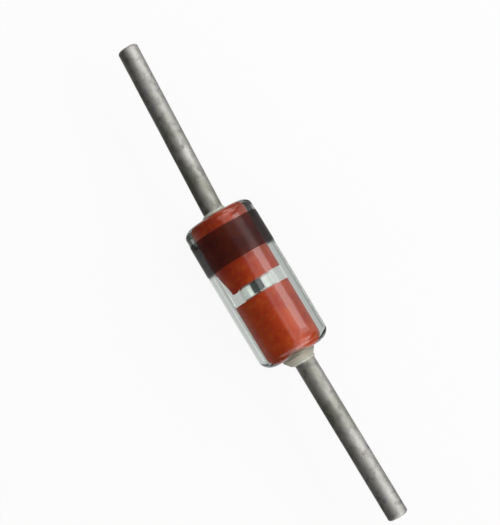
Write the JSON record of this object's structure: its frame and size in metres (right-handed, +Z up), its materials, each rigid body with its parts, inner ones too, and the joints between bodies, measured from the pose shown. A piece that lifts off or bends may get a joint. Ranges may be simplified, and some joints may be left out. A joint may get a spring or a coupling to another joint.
{
  "type": "zener diode",
  "caption": "Glass axial-lead diode: a clear sleeve fused on red metal slugs around a small chip, with a black cathode band and tinned wire leads that set a fixed voltage.",
  "frame": {"origin": "centre of the glass sleeve, on its axis", "axes": "+X along the sleeve's axis from the cathode, the banded end, to the anode; both leads lean slightly towards +Y; +Z up, towards the camera of the reference view"},
  "size_m": [0.0128, 0.0018, 0.0018],
  "materials": {
    "sleeve_glass": "gloss",
    "slug_copper": "satin",
    "tinned_wire": "satin",
    "silicon": "polished",
    "silver": "matte",
    "band_ink": "satin"
  },
  "bodies": {
    "root": {"glass_sleeve": "sleeve_glass", "cathode_band": "band_ink", "cathode_slug": "slug_copper", "anode_slug": "slug_copper", "cathode_lead": "tinned_wire", "anode_lead": "tinned_wire", "zener_die": "silicon", "silver_bump": "silver"}
  },
  "joints": []
}
